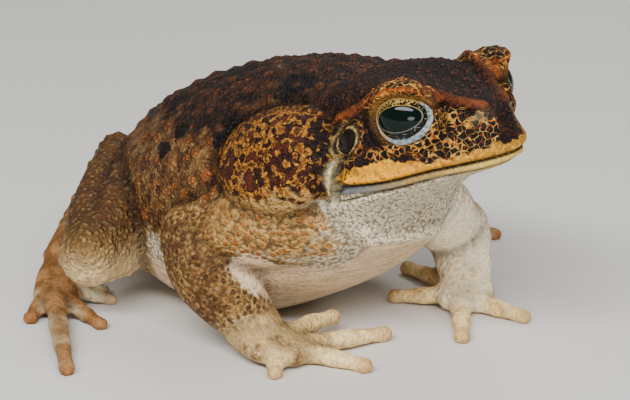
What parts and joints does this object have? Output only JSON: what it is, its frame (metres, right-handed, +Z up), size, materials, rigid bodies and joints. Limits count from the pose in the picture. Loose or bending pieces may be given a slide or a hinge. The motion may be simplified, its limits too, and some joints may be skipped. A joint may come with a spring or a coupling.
{
  "type": "cane toad",
  "caption": "Life-size still model of a cane toad sitting with its chest raised on its arms and its hind legs folded.",
  "frame": {"origin": "on the floor, under the middle of the box round the toad", "axes": "+X the way the body points, +Y to the toad's left, +Z up"},
  "size_m": [0.1298, 0.1444, 0.0718],
  "materials": {
    "warty_skin": "dry, warty skin, dark brown with ochre wart tips",
    "pale_skin": "cream, finely granular skin",
    "limb_skin": "tan, granular skin with brown spots",
    "gland_skin": "smooth, pored gland skin, red-brown with a yellow net",
    "eardrum": "thin, taut dark skin",
    "eye": "wet, glossy eyeball"
  },
  "bodies": {
    "root": {"head": "warty_skin", "left_eye": "eye", "left_finger_1": "pale_skin", "left_finger_2": "pale_skin", "left_finger_3": "pale_skin", "left_finger_4": "pale_skin", "left_foot": "limb_skin", "left_forearm": "limb_skin", "left_hand": "pale_skin", "left_parotoid": "gland_skin", "left_shank": "limb_skin", "left_tarsus": "limb_skin", "left_thigh": "limb_skin", "left_tympanum": "eardrum", "left_upper_arm": "limb_skin", "lower_jaw": "pale_skin", "right_eye": "eye", "right_finger_1": "pale_skin", "right_finger_2": "pale_skin", "right_finger_3": "pale_skin", "right_finger_4": "pale_skin", "right_foot": "limb_skin", "right_forearm": "limb_skin", "right_hand": "pale_skin", "right_parotoid": "gland_skin", "right_shank": "limb_skin", "right_tarsus": "limb_skin", "right_thigh": "limb_skin", "right_tympanum": "eardrum", "right_upper_arm": "limb_skin", "torso": "warty_skin"}
  },
  "joints": []
}
